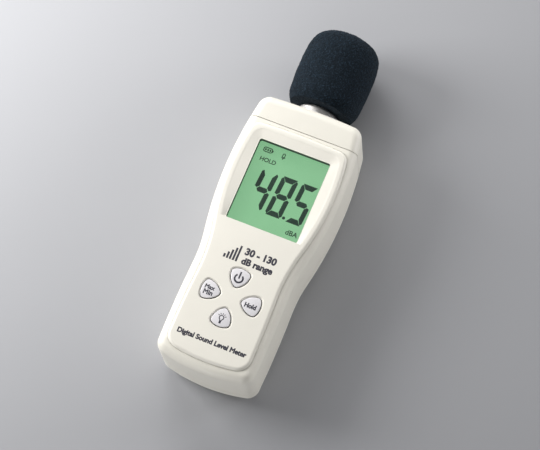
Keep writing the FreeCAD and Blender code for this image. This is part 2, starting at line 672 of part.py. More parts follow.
def make_mic_grille():
    """Protective cap with three rings of slots over the capsule."""
    cap = barrel(MIC_R, MIC_TIP + 0.03, MIC_TIP + 1.5)
    cap = cap.makeFillet(0.6, [e for e in cap.Edges if abs(e.BoundBox.YMin - MIC_TIP - 1.5) < 1e-3])
    cap = cap.fuse(barrel(MIC_BORE_R - 0.05, MIC_TIP - 0.5, MIC_TIP + 0.5))
    slots = []
    for k in range(8):
        slot = block(1.6, 4.4, MIC_TIP - 1, MIC_TIP + 3, MIC_Z - 0.45, MIC_Z + 0.45)
        slot.rotate(V(0, 0, MIC_Z), V(0, 1, 0), 45 * k)
        slots.append(slot)
    return cap.cut(slots + [barrel(0.7, MIC_TIP - 1, MIC_TIP + 3)])


def make_windscreen():
    """Foam plug: barrel sides, a big round shoulder and a low dome, with the blind bore that
    grips the microphone tube. The outline runs (radius, height above the lower rim)."""
    bore_depth = MIC_TIP + 1.9 - FOAM_BOTTOM
    outline = [(14.1, 0.0), (15.6, 2.8), (16.4, 8.0), (16.75, 14.0), (16.75, 20.5),
               (16.3, 27.0), (15.1, 31.2), (13.2, 33.6), (8.2, 36.0), (0.0, FOAM_TOP - FOAM_BOTTOM)]

    def at(radius, height):
        return V(radius, FOAM_BOTTOM + height, MIC_Z)

    skin = Part.BSplineCurve()
    points = [at(r, h) for r, h in outline]
    skin.interpolate(Points=points, InitialTangent=V(0.43, 0.9, 0), FinalTangent=V(-1, 0, 0),
                     Scale=False)
    bore = [at(0, bore_depth), at(FOAM_BORE_R, bore_depth), at(FOAM_BORE_R, 0)]
    corners = [points[-1]] + bore + [points[0]]
    edges = [skin.toShape()]
    edges += [Part.LineSegment(a, b).toShape() for a, b in zip(corners, corners[1:])]
    return Part.Face(Part.Wire(edges)).revolve(V(0, 0, MIC_Z), V(0, 1, 0), 360)


# ---- Screws, leads, label -----------------------------------------------------------------

def screw(x, y, head_r, head_z0, head_z1, shank_r, tip_z):
    """A pan-head screw that points up, with a cross recess in its head."""
    head = post(x, y, head_r, head_z0, head_z1)
    head = head.makeFillet(0.3, edges_at(head, head_z0))
    shank = post(x, y, shank_r, head_z1, tip_z)
    cross = [block(x - 1.1, x + 1.1, y - 0.22, y + 0.22, head_z0 - 1, head_z0 + 0.8),
             block(x - 0.22, x + 0.22, y - 1.1, y + 1.1, head_z0 - 1, head_z0 + 0.8)]
    return head.fuse(shank).cut(cross)


def make_case_screws():
    low, high = SCREW_SEAT - 1.7, SCREW_SEAT - 0.02
    return Part.makeCompound([screw(x, y, 2.1, low, high, 0.95, 22.0) for x, y in CASE_SCREWS])


def make_board_screws():
    seat = BOARD_TOP - BOARD_THICK
    low, high = seat - 1.3, seat - 0.02
    return Part.makeCompound([screw(x, y, 1.7, low, high, 0.7, 26.0) for x, y in BOARD_SCREWS])


def make_mic_lead():
    route = [(0, 60.5, MIC_Z), (0, 44, MIC_Z), (0, 31, MIC_Z - 1), (3, 21, 14.2), (6, 13, 14.8)]
    return lead(route + [(6, 13, BOARD_TOP - BOARD_THICK - 0.05)], 1.8)


def make_red_lead():
    y = BAY_HIGH_Y + BAY_WALL + 0.9
    route = [(-11, y, 8.5), (-11, y, 15.0), (-12, y + 4.5, 17.0)]
    return lead(route + [(-12, y + 4.5, BOARD_TOP - BOARD_THICK - 0.05)], 1.3)


def make_black_lead():
    y = BAY_LOW_Y - BAY_WALL - 1.0
    route = [(6, y, 9.5), (6, y, 16.4), (6.5, -67.5, 17.6), (7, -60.5, 17.2)]
    return lead(route + [(7, -60.5, BOARD_TOP - BOARD_THICK - 0.05)], 1.3)


def make_rating_label():
    return rounded_block(-17.0, 17.0, -8.0, 16.0, 0.10, 0.22, 1.7)


# ---- Write the parts ----------------------------------------------------------------------

NODES = {
    "front_housing": make_front_housing,
    "rear_cover": make_rear_cover,
    "head_cap": make_head_cap,
    "front_panel": make_front_panel,
    "window_gasket": make_window_gasket,
    "display_window": make_display_window,
    "display_glass": make_display_glass,
    "display_frame": make_display_frame,
    "light_guide": make_light_guide,
    "backlight_lamp": make_backlight_lamp,
    "connector_strip": make_connector_strip,
    "circuit_board": make_circuit_board,
    "chips": make_chips,
    "capacitors": make_capacitors,
    "crystal": make_crystal,
    "trimmer": make_trimmer,
    "key_mat": make_key_mat,
    "battery_springs": make_battery_springs,
    "battery_contacts": make_battery_contacts,
    "battery_door": make_battery_door,
    "mic_tube": make_mic_tube,
    "mic_collar": make_mic_collar,
    "mic_capsule": make_mic_capsule,
    "capsule_holder": make_capsule_holder,
    "mic_grille": make_mic_grille,
    "mic_lead": make_mic_lead,
    "windscreen": make_windscreen,
    "case_screws": make_case_screws,
    "board_screws": make_board_screws,
    "battery_lead_red": make_red_lead,
    "battery_lead_black": make_black_lead,
    "rating_label": make_rating_label,
}

for name, make in NODES.items():
    make().exportStep("parts/%s.step" % name)
for name, angle in KEYS.items():
    make_key(angle).exportStep("parts/%s.step" % name)
for number in range(3):
    make_battery(number).exportStep("parts/battery_%d.step" % (number + 1))
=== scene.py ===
import math

import bmesh
import bpy
from mathutils import Matrix, Vector, noise


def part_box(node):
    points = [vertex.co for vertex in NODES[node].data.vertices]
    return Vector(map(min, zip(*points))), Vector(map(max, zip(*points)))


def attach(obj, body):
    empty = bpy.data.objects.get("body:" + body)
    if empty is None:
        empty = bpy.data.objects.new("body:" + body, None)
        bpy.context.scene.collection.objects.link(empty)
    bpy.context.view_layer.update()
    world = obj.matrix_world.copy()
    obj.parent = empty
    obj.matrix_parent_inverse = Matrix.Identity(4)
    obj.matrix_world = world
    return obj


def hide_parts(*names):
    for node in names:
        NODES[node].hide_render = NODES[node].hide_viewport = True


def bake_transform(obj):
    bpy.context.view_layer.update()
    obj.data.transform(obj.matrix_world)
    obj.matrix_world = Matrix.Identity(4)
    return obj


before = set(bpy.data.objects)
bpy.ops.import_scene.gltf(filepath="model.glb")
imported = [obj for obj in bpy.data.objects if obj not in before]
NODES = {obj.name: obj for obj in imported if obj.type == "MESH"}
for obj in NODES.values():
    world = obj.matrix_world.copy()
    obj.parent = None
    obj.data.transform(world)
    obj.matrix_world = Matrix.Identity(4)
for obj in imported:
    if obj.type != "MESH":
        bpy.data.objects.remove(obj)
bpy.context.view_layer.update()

MM = 0.001

# ---------------------------------------------------------------- camera, floor and light

CAMERA_AT = (0.1591, -0.2505, 0.8879)
CAMERA_RIGHT = (0.91998, 0.38716, -0.06123)
CAMERA_UP = (-0.35142, 0.88386, 0.30869)
CAMERA_BACK = (0.17363, -0.26247, 0.94919)
LENS = 143.3
SENSOR = 36

FLOOR_HALF = 2.5
FLOOR_DROP = 0.0002
FLOOR_COLOUR = (0.39, 0.396, 0.42)
SKY = 0.17
SKY_COLOUR = (0.98, 0.99, 1.0)
WARM = (1.0, 0.99, 0.97)
WHITE = (1.0, 0.99, 0.98)

# Each lamp's name, place, point aimed at, diameter, power and colour
LAMPS = [
    ("key", (-0.38, -0.02, 0.22), (0.0, 0.0, 0.0), 0.26, 2.0, WARM),
    ("top_left", (-0.22, 0.24, 0.22), (0.0, 0.0, 0.0), 0.24, 0.65, WARM),
    ("top", (-0.1, 0.5, 0.35), (0.0, 0.0, 0.0), 0.5, 1.0, WHITE),
    ("low_right", (0.6, 0.45, 0.14), (0.0, 0.0, 0.02), 0.3, 2.85, WHITE),
    ("low_front", (0.0, -0.75, 0.14), (0.0, 0.0, 0.02), 0.3, 1.4, WHITE),
]


def add_camera():
    data = bpy.data.cameras.new("camera")
    data.lens = LENS
    data.sensor_width = SENSOR
    data.clip_start = 0.01
    data.clip_end = 20
    camera = bpy.data.objects.new("camera", data)
    turn = Matrix((CAMERA_RIGHT, CAMERA_UP, CAMERA_BACK)).transposed()
    camera.matrix_world = Matrix.Translation(CAMERA_AT) @ turn.to_4x4()
    bpy.context.scene.collection.objects.link(camera)
    bpy.context.scene.camera = camera


def add_area(name, at, aim, size, power, colour):
    data = bpy.data.lights.new(name, "AREA")
    data.shape = "DISK"
    data.size = size
    data.energy = power
    data.color = colour
    lamp = bpy.data.objects.new(name, data)
    lamp.location = at
    lamp.rotation_mode = "QUATERNION"
    lamp.rotation_quaternion = (Vector(aim) - Vector(at)).to_track_quat("-Z", "Y")
    bpy.context.scene.collection.objects.link(lamp)


def add_sky(strength, colour):
    """Even light from all round."""
    world = bpy.data.worlds.new("studio")
    world.use_nodes = True
    back = world.node_tree.nodes["Background"]
    back.inputs["Color"].default_value = (*colour, 1)
    back.inputs["Strength"].default_value = strength
    bpy.context.scene.world = world


# ---------------------------------------------------------------- materials

DISPLAY_HALF = 17.0
JACKET_DARK_TO = -37.2
JACKET_COPPER_FROM = -36.9


class Shader:
    """A node material under construction. Its textures read the object's own coordinates, in metres."""

    def __init__(self, name):
        self.mat = bpy.data.materials.new(name)
        self.mat.use_nodes = True
        self.tree = self.mat.node_tree
        self.tree.nodes.clear()
        self.out = self.tree.nodes.new("ShaderNodeOutputMaterial")
        self.coords = self.tree.nodes.new("ShaderNodeTexCoord").outputs["Object"]

    def node(self, kind, **inputs):
        made = self.tree.nodes.new("ShaderNode" + kind)
        for key, value in inputs.items():
            self.put(made.inputs[key.replace("_", " ")], value)
        return made

    def put(self, socket, value):
        if isinstance(value, bpy.types.NodeSocket):
            self.tree.links.new(value, socket)
        elif isinstance(value, tuple) and len(value) == 3 and socket.type == "RGBA":
            socket.default_value = (*value, 1)
        else:
            socket.default_value = value

    def stretched(self, scale):
        """The object's coordinates, each axis multiplied, so that a pattern can run long one way."""
        made = self.node("Mapping", Vector=self.coords)
        made.inputs["Scale"].default_value = scale
        return made.outputs["Vector"]

    def noise(self, size_mm, detail=3.0, rough=0.55, vector=None):
        made = self.node(
            "TexNoise",
            Vector=vector or self.coords,
            Scale=1 / (size_mm * MM),
            Detail=detail,
            Roughness=rough,
        )
        return made.outputs["Fac"]

    def cells(self, size_mm):
        """Distance from the middle of the nearest cell of a random packing."""
        made = self.node("TexVoronoi", Vector=self.coords, Scale=1 / (size_mm * MM))
        return made.outputs["Distance"]

    def ranged(self, value, low, high, source=(0.3, 0.7)):
        """The value carried from its source range to low..high, and held at the ends."""
        made = self.tree.nodes.new("ShaderNodeMapRange")
        self.put(made.inputs["Value"], value)
        made.inputs["From Min"].default_value, made.inputs["From Max"].default_value = source
        made.inputs["To Min"].default_value, made.inputs["To Max"].default_value = low, high
        return made.outputs["Result"]

    def axis(self, letter):
        made = self.node("SeparateXYZ", Vector=self.coords)
        return made.outputs[letter]

    def mixed(self, factor, a, b):
        made = self.tree.nodes.new("ShaderNodeMix")
        made.data_type = "RGBA"
        self.put(made.inputs["Factor"], factor)
        colours = [s for s in made.inputs if s.type == "RGBA"]
        self.put(colours[0], a)
        self.put(colours[1], b)
        return [s for s in made.outputs if s.type == "RGBA"][0]

    def sum(self, a, b, operation="ADD"):
        made = self.tree.nodes.new("ShaderNodeMath")
        made.operation = operation
        self.put(made.inputs[0], a)
        self.put(made.inputs[1], b)
        return made.outputs[0]

    def bumped(self, height, depth_um, strength=1.0, normal=None):
        made = self.tree.nodes.new("ShaderNodeBump")
        made.inputs["Strength"].default_value = strength
        made.inputs["Distance"].default_value = depth_um * 1e-6
        self.put(made.inputs["Height"], height)
        if normal is not None:
            self.put(made.inputs["Normal"], normal)
        return made.outputs["Normal"]

    def at_glancing(self, head_on):
        """A mirror's share of clear plastic: the head-on share, rising to all at a glancing angle."""
        facing = self.node("LayerWeight", Blend=0.5).outputs["Facing"]
        return self.sum(self.sum(self.sum(facing, 5.0, "POWER"), 1 - head_on, "MULTIPLY"), head_on)

    def painted_crease_shade(self, colour, crease_shade, reach_mm):
        """Painted shade: the colour, falling to the given shade colour in gaps narrower than about the
        reach, found by ambient occlusion.
        """
        near = self.tree.nodes.new("ShaderNodeAmbientOcclusion")
        near.samples = 8
        near.inputs["Distance"].default_value = reach_mm * MM
        return self.mixed(self.ranged(near.outputs["AO"], 0, 1, (0.12, 0.62)), crease_shade, colour)

    def principled(self, **inputs):
        made = self.node("BsdfPrincipled", **inputs)
        self.tree.links.new(made.outputs["BSDF"], self.out.inputs["Surface"])
        return made


def shade(colour, factor):
    return tuple(min(1.0, c * factor) for c in colour)


def moulded(name, colour, rough, grain_mm, grain_um, drift=0.03, coat=0.0, crease_shade=None, reach=0.4):
    """Moulded plastic: fine tool texture, slow drift of tone and of polish. With a shade colour
    for creases, painted shade darkens the seams and other narrow gaps."""
    s = Shader(name)
    slow = s.noise(14, 2.0)
    fine = s.noise(grain_mm, 2.0, 0.6)
    speck = s.noise(grain_mm * 3.1, 3.0, 0.5)
    tone = s.sum(slow, s.sum(speck, 0.35, "MULTIPLY"))
    colour_out = s.mixed(
        s.ranged(tone, 0, 1, (0.45, 0.9)),
        shade(colour, 1 - drift),
        shade(colour, 1 + drift),
    )
    if crease_shade:
        # Painted shade: darker in narrow gaps, found by ambient occlusion.
        colour_out = s.painted_crease_shade(colour_out, crease_shade, reach)
    handled = s.sum(s.noise(5.5, 4.0, 0.65), s.sum(fine, 0.4, "MULTIPLY"))
    normal = s.bumped(fine, grain_um)
    normal = s.bumped(s.noise(9, 1.0), 14, normal=normal)
    made = s.principled(
        Base_Color=colour_out,
        Roughness=s.ranged(handled, rough - 0.05, rough + 0.06, (0.45, 0.95)),
        Normal=normal,
    )
    made.inputs["Coat Weight"].default_value = coat
    made.inputs["Coat Roughness"].default_value = 0.12
    return s.mat


def metal(name, colour, rough, brushed=None, grain_mm=0.12):
    """Metal with drawn or tumbled marks. Brushed multiplies each axis, so that marks run long
    where it is small."""
    s = Shader(name)
    vector = s.stretched(brushed) if brushed else None
    marks = s.noise(grain_mm, 3.0, 0.6, vector)
    stain = s.noise(4.0, 3.0, 0.6)
    wear = s.sum(marks, s.sum(stain, 0.5, "MULTIPLY"))
    s.principled(
        Base_Color=s.mixed(s.ranged(stain, 0, 1), shade(colour, 0.9), shade(colour, 1.06)),
        Metallic=1.0,
        Roughness=s.ranged(wear, rough - 0.07, rough + 0.1, (0.5, 1.0)),
        Normal=s.bumped(marks, 4),
    )
    return s.mat


def rubber(name, colour, rough):
    """Soft matt rubber or wire insulation with a dusty bloom."""
    s = Shader(name)
    bloom = s.noise(2.6, 4.0, 0.6)
    grain = s.noise(0.3, 2.0)
    s.principled(
        Base_Color=s.mixed(s.ranged(bloom, 0, 1), shade(colour, 0.85), shade(colour, 1.15)),
        Roughness=s.ranged(s.sum(bloom, grain), rough - 0.08, rough + 0.1, (0.7, 1.3)),
        Normal=s.bumped(grain, 6),
    )
    return s.mat


def clear_plastic(name):
    """Clear acrylic that lamps and sight pass through, with faint wiping marks in its gloss."""
    s = Shader(name)
    marks = s.noise(0.35, 3.0, 0.6, s.stretched((1.0, 0.12, 1.0)))
    film = s.noise(7.0, 3.0, 0.6)
    tint = s.mixed(s.ranged(film, 0, 1), (0.965, 0.985, 0.97), (0.985, 0.995, 0.985))
    pass_through = s.node("BsdfTransparent", Color=tint)
    gloss = s.node(
        "BsdfGlossy",
        Color=(1.0, 1.0, 1.0),
        Roughness=s.ranged(s.sum(marks, film), 0.05, 0.13, (0.7, 1.3)),
        Normal=s.bumped(marks, 0.6),
    )
    mix = s.node("MixShader", Fac=s.at_glancing(0.034))
    s.tree.links.new(pass_through.outputs[0], mix.inputs[1])
    s.tree.links.new(gloss.outputs[0], mix.inputs[2])
    s.tree.links.new(mix.outputs[0], s.out.inputs["Surface"])
    return s.mat


def lit_display(name, colour, glow):
    """Back-lit liquid crystal cell: an even painted glow for the backlight, over a tone painted a little
    paler to the left as lit, with the fine mottle of the diffuser."""
    s = Shader(name)
    # Painted light: the display's tone is paler to the left.
    side = s.ranged(s.axis("X"), 1.12, 0.94, (-DISPLAY_HALF * MM, DISPLAY_HALF * MM))
    mottle = s.sum(s.noise(0.45, 2.0), s.noise(6.0, 2.0))
    light_and_mottle = s.sum(side, s.ranged(mottle, 0.96, 1.04, (0.7, 1.3)), "MULTIPLY")
    base = s.mixed(s.ranged(light_and_mottle, 0, 1, (0.85, 1.18)), shade(colour, 0.25), shade(colour, 0.4))
    made = s.principled(
        Base_Color=base,
        Roughness=s.ranged(mottle, 0.28, 0.4, (0.7, 1.3)),
        Normal=s.bumped(s.noise(0.2, 2.0), 1.5),
    )
    made.inputs["Emission Color"].default_value = (*colour, 1)
    made.inputs["Emission Strength"].default_value = glow
    return s.mat


def open_cell_foam(name, colour):
    """Near-black open-cell foam: pits between struts, painted shade in the pits, painted glints on the
    strut ends and a faint sheen.
    """
    s = Shader(name)
    pits = s.cells(0.42)
    fine = s.noise(0.16, 3.0, 0.7)
    patch = s.noise(3.2, 3.0, 0.6)
    height = s.sum(s.ranged(pits, 0, 1, (0.1, 0.8)), s.sum(fine, 0.6, "MULTIPLY"))
    # Painted glints: pale specks where the strut ends catch light.
    painted_glint = s.ranged(s.noise(0.6, 2.0, 0.7), 0, 1, (0.52, 0.68))
    # Painted shade: darker in the pits, lighter on the struts, with random patches.
    tone = s.sum(s.ranged(height, 0.0, 0.75, (0.15, 1.1)), s.ranged(patch, 0.0, 0.3))
    body = s.mixed(tone, shade(colour, 0.4), shade(colour, 1.6))
    made = s.principled(
        Base_Color=s.mixed(painted_glint, body, shade(colour, 4.6)),
        Roughness=s.ranged(fine, 0.8, 0.96),
        Normal=s.bumped(height, 170, 0.9),
    )
    made.inputs["Specular IOR Level"].default_value = 0.13
    made.inputs["Sheen Weight"].default_value = 0.05
    made.inputs["Sheen Roughness"].default_value = 0.45
    made.inputs["Sheen Tint"].default_value = (0.72, 0.83, 1.0, 1)
    return s.mat


def printed_ink(name, colour, rough=0.55):
    """Pad-printed ink: slightly uneven film."""
    s = Shader(name)
    film = s.noise(0.5, 3.0, 0.6)
    s.principled(
        Base_Color=s.mixed(s.ranged(film, 0, 1), shade(colour, 0.8), shade(colour, 1.3)),
        Roughness=s.ranged(film, rough - 0.08, rough + 0.08),
        Normal=s.bumped(film, 1.5),
    )
    return s.mat


def solder_mask(name):
    """Board lacquer over copper, with a brick pattern of paler lines for the tracks."""
    s = Shader(name)
    brick = s.tree.nodes.new("ShaderNodeTexBrick")
    s.put(brick.inputs["Vector"], s.coords)
    brick.inputs["Scale"].default_value = 160
    brick.inputs["Mortar Size"].default_value = 0.03
    brick.inputs["Color1"].default_value = (0.016, 0.13, 0.055, 1)
    brick.inputs["Color2"].default_value = (0.02, 0.17, 0.07, 1)
    brick.inputs["Mortar"].default_value = (0.05, 0.28, 0.12, 1)
    weave = s.noise(0.5, 2.0)
    made = s.principled(
        Base_Color=s.mixed(s.ranged(weave, 0, 0.25), brick.outputs["Color"], (0.01, 0.09, 0.04)),
        Roughness=s.ranged(weave, 0.25, 0.42),
        Normal=s.bumped(s.sum(brick.outputs["Fac"], s.sum(weave, 0.3, "MULTIPLY")), 12),
    )
    made.inputs["Coat Weight"].default_value = 0.4
    return s.mat


def cell_jacket(name):
    """A dry cell's metallised jacket: dark towards the case's lower end, copper towards the
    windscreen, divided by one line across the bay."""
    s = Shader(name)
    along = s.axis("Y")
    band = s.ranged(along, 0, 1, (JACKET_DARK_TO * MM, JACKET_COPPER_FROM * MM))
    skin = s.noise(3.0, 3.0)
    dark = s.mixed(s.ranged(skin, 0, 1), (0.05, 0.065, 0.1), (0.07, 0.085, 0.125))
    s.principled(
        Base_Color=s.mixed(band, dark, (0.62, 0.33, 0.15)),
        Metallic=0.75,
        Roughness=s.ranged(skin, 0.26, 0.4),
        Normal=s.bumped(s.noise(0.6, 2.0), 3),
    )
    return s.mat


def foil_label(name):
    """Blank rating label of brushed satin foil."""
    s = Shader(name)
    grain = s.noise(0.12, 2.0, 0.6, s.stretched((1.0, 0.05, 1.0)))
    s.principled(
        Base_Color=s.mixed(s.ranged(grain, 0, 1), (0.6, 0.61, 0.62), (0.72, 0.73, 0.74)),
        Metallic=0.35,
        Roughness=s.ranged(grain, 0.34, 0.5),
        Normal=s.bumped(grain, 2),
    )
    return s.mat


def floor_paper(name, colour):
    """Pale seamless studio paper."""
    s = Shader(name)
    slow = s.noise(160, 2.0)
    tooth = s.noise(0.8, 3.0, 0.6)
    s.principled(
        Base_Color=s.mixed(s.ranged(slow, 0, 1), shade(colour, 0.985), shade(colour, 1.015)),
        Roughness=s.ranged(tooth, 0.58, 0.66),
        Normal=s.bumped(tooth, 6),
    )
    return s.mat


def dress(material, *names):
    for name in names:
        slots = NODES[name].data.materials
        slots.clear()
        slots.append(material)


# ---------------------------------------------------------------- meshes


def new_piece(name, mesh, material):
    piece = bpy.data.objects.new(name, mesh)
    mesh.materials.clear()
    mesh.materials.append(material)
    bpy.context.scene.collection.objects.link(piece)
    return piece


def add_piece(name, mesh, material, body):
    """A rigid piece that moves with a body."""
    piece = new_piece(name, mesh, material)
    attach(piece, body)
    return piece


def slabs(name, outlines, surface, thick):
    """Thin closed prints: each outline is a ring of (x, y) in mm, laid on the surface height function."""
    bm = bmesh.new()
    for ring in outlines:
        low = [bm.verts.new((x * MM, y * MM, surface(x, y) * MM)) for x, y in ring]
        high = [bm.verts.new((x * MM, y * MM, (surface(x, y) + thick) * MM)) for x, y in ring]
        count = len(ring)
        bm.faces.new(high)
        bm.faces.new(low[::-1])
        for i in range(count):
            j = (i + 1) % count
            bm.faces.new((low[i], low[j], high[j], high[i]))
    bmesh.ops.recalc_face_normals(bm, faces=bm.faces)
    bmesh.ops.triangulate(bm, faces=bm.faces)
    mesh = bpy.data.meshes.new(name)
    bm.to_mesh(mesh)
    bm.free()
    return mesh


def strip_ring(line, half):
    """Outline of an open line given some width."""
    left, right = [], []
    for i, (x, y) in enumerate(line):
        ax, ay = line[max(i - 1, 0)]
        bx, by = line[min(i + 1, len(line) - 1)]
        length = math.hypot(bx - ax, by - ay)
        nx, ny = -(by - ay) / length, (bx - ax) / length
        left.append((x + nx * half, y + ny * half))
        right.append((x - nx * half, y - ny * half))
    return right + left[::-1]


def arc(cx, cy, radius, start, end, steps):
    """Points on a circle between two angles in degrees."""
    angles = [math.radians(start + (end - start) * i / steps) for i in range(steps + 1)]
    return [(cx + radius * math.cos(a), cy + radius * math.sin(a)) for a in angles]


def lettering(name, lines, surface, thick, weight):
    """Words as thin closed prints. Each line is (words, centre x, baseline y, width), in mm.
    The weight is the rim added round each glyph, as a share of the type's size."""
    bm = bmesh.new()
    for words, centre, baseline, width in lines:
        curve = bpy.data.curves.new(name + "_curve", "FONT")
        curve.body = words
        curve.align_x = "CENTER"
        curve.extrude = 0.5
        curve.bevel_depth = weight
        curve.bevel_resolution = 0
        curve.resolution_u = 4
        carrier = bpy.data.objects.new(name + "_carrier", curve)
        bpy.context.scene.collection.objects.link(carrier)
        raw = bpy.data.meshes.new_from_object(carrier)
        xs = [v.co.x for v in raw.vertices]
        scale = width / (max(xs) - min(xs))
        middle = (max(xs) + min(xs)) / 2
        for v in raw.vertices:
            x = centre + (v.co.x - middle) * scale
            y = baseline + v.co.y * scale
            z = surface(x, y) + (thick if v.co.z > 0 else 0)
            v.co = (x * MM, y * MM, z * MM)
        bm.from_mesh(raw)
        bpy.data.objects.remove(carrier)
        bpy.data.curves.remove(curve)
        bpy.data.meshes.remove(raw)
    bmesh.ops.remove_doubles(bm, verts=bm.verts, dist=1e-6)
    mesh = bpy.data.meshes.new(name)
    bm.to_mesh(mesh)
    bm.free()
    return mesh


def joined(name, *meshes):
    bm = bmesh.new()
    for mesh in meshes:
        bm.from_mesh(mesh)
        bpy.data.meshes.remove(mesh)
    mesh = bpy.data.meshes.new(name)
    bm.to_mesh(mesh)
    bm.free()
    return mesh


# ---------------------------------------------------------------- the windscreen

FOAM_VOXEL = 0.34
FOAM_INSET = 0.2
FOAM_CLUMP = 0.1
FOAM_CLUMP_SIZE = 4.5
FOAM_CELL = 0.95
FOAM_WALL = 0.5
FOAM_PIT = 0.55
FOAM_GRAIN = 0.07
FOAM_GRAIN_SIZE = 0.45


def foam_windscreen(name):
    """The windscreen's solid, remeshed finely in millimetres and roughened cell by cell. No point
    passes the solid's far end or its lowest point."""
    source = NODES["windscreen"]
    solid = source.data.copy()
    solid.transform(Matrix.Scale(1 / MM, 4))
    work = bpy.data.objects.new(name + "_work", solid)
    bpy.context.scene.collection.objects.link(work)
    remesh = work.modifiers.new("remesh", "REMESH")
    remesh.mode = "VOXEL"
    remesh.voxel_size = FOAM_VOXEL
    mesh = bpy.data.meshes.new_from_object(
        work.evaluated_get(bpy.context.evaluated_depsgraph_get())
    )
    bpy.data.objects.remove(work)
    mesh.name = name
    low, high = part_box("windscreen")
    normals = [v.normal.copy() for v in mesh.vertices]
    places = []
    for v, normal in zip(mesh.vertices, normals):
        p = v.co.copy()
        clump = noise.noise(p / FOAM_CLUMP_SIZE) * FOAM_CLUMP
        near = noise.voronoi(p / FOAM_CELL)[0]
        pit = (min(near[1] - near[0], FOAM_WALL) - FOAM_WALL / 2) * FOAM_PIT
        grain = noise.noise(p / FOAM_GRAIN_SIZE) * FOAM_GRAIN
        moved = (p + normal * (clump + pit + grain - FOAM_INSET)) * MM
        places += (moved.x, min(moved.y, high.y), max(moved.z, low.z))
    mesh.vertices.foreach_set("co", places)
    mesh.update()
    mesh.polygons.foreach_set("use_smooth", [True] * len(mesh.polygons))
    return mesh


# ---------------------------------------------------------------- the display's reading

GLASS_FACE = 28.5
CELL_LIFT = 0.02
CELL_THICK = 0.03
CELL_WEIGHT = 0.018
DIGIT_HIGH = 18.5
DIGIT_WIDE = 7.4
DIGIT_MIDDLE = 0.25
DIGIT_STROKE = 2.05
DIGIT_LEAN = 0.055
DIGIT_PLACES = {-7.35: "bcfg", 1.75: "abcdefg", 10.9: "acdfg"}
SEGMENT_GAP = 0.16
POINT_AT = (6.0, -7.9)
POINT_R = 0.68
BATTERY_AT = (-11.85, 17.8)
MICROPHONE_AT = (-4.55, 17.4)
CELL_WORDS = [("HOLD", -10.05, 12.45, 7.2), ("dBA", 11.85, -14.2, 5.4)]


def segment_ring(letter):
    """One segment of a seven-segment digit centred on the origin, before it leans."""
    w, h, s, g = DIGIT_WIDE / 2, DIGIT_HIGH / 2, DIGIT_STROKE, SEGMENT_GAP
    half = s / 2
    shapes = {
        "a": [
            (-w + g + 0.35, h),
            (w - g - 0.35, h),
            (w - s - 0.1, h - s - 0.3),
            (-w + s + 0.1, h - s - 0.3),
        ],
        "g": [
            (-w + half + g, 0),
            (-w + s, half + 0.15),
            (w - s, half + 0.15),
            (w - half - g, 0),
            (w - s, -half - 0.15),
            (-w + s, -half - 0.15),
        ],
        "f": [
            (-w, 0.9),
            (-w + half, 0.42),
            (-w + s, half + 0.45),
            (-w + s, h - s - 0.6),
            (-w + half * 0.75, h - 0.45),
            (-w, h - 1.2),
        ],
    }
    shapes["b"] = [(-x, y) for x, y in shapes["f"]]
    shapes["c"] = [(-x, -y) for x, y in shapes["f"]]
    shapes["d"] = [(x, -y) for x, y in shapes["a"]]
    shapes["e"] = [(x, -y) for x, y in shapes["f"]]
    return shapes[letter]


def lean(ring, centre):
    """A digit's segment slanted and moved to the digit's place."""
    return [(centre + x + y * DIGIT_LEAN, DIGIT_MIDDLE + y) for x, y in ring]


def strips(lines, at):
    """Outlines of lines drawn about a place. Each line comes with half its width."""
    return [strip_ring([(at[0] + x, at[1] + y) for x, y in line], half) for line, half in lines]


def battery_symbol():
    """Rounded case, cap and three charge bars."""
    right = [(1.45, 0.95), (1.9, 0.6), (1.9, -0.6), (1.45, -0.95)]
    left = [(-x, y) for x, y in right]
    top = [left[0], right[0]]
    bottom = [left[-1], right[-1]]
    lines = [(line, 0.19) for line in (top, bottom, left, right)]
    lines.append(([(2.23, 0.4), (2.23, -0.4)], 0.2))
    lines += [([(x, 0.4), (x, -0.4)], 0.32) for x in (-1.05, 0, 1.05)]
    return strips(lines, BATTERY_AT)


def microphone_symbol():
    """Capsule, cradle and stem."""
    capsule = arc(0, 0.8, 0.5, 0, 180, 10) + arc(0, 0.1, 0.5, 180, 360, 10) + [(0.5, 0.8)]
    cradle = arc(0, 0, 0.85, 200, 340, 10)
    stem = [(0, -0.9), (0, -1.4)]
    return strips([(capsule, 0.17), (cradle, 0.15), (stem, 0.17)], MICROPHONE_AT)


def on_glass(x, y):
    return GLASS_FACE + CELL_LIFT


def display_reading():
    """The digits with their decimal point, the two symbols and the words."""
    rings = []
    for centre, letters in DIGIT_PLACES.items():
        rings += [lean(segment_ring(letter), centre) for letter in letters]
    rings.append(arc(*POINT_AT, POINT_R, 0, 345, 23))
    rings += battery_symbol() + microphone_symbol()
    marks = slabs("marks", rings, on_glass, CELL_THICK)
    words = lettering("words", CELL_WORDS, on_glass, CELL_THICK, CELL_WEIGHT)
    return joined("display_reading", marks, words)


# ---------------------------------------------------------------- printing on the panel and keys

PANEL_FACE = 34.0
INK_LIFT = 0.004
INK_THICK = 0.022
KEY_INK = 0.01
PANEL_WEIGHT = 0.05
MAX_MIN_WEIGHT = 0.04
HOLD_WEIGHT = 0.055

KEY_BALL = 30.0
KEY_BALL_AT = 4.4
KEYS_Y = -49.6
KEY_ARM = 9.5
KEYS = {"key_power": 90, "key_max_min": 180, "key_light": 270, "key_hold": 0}

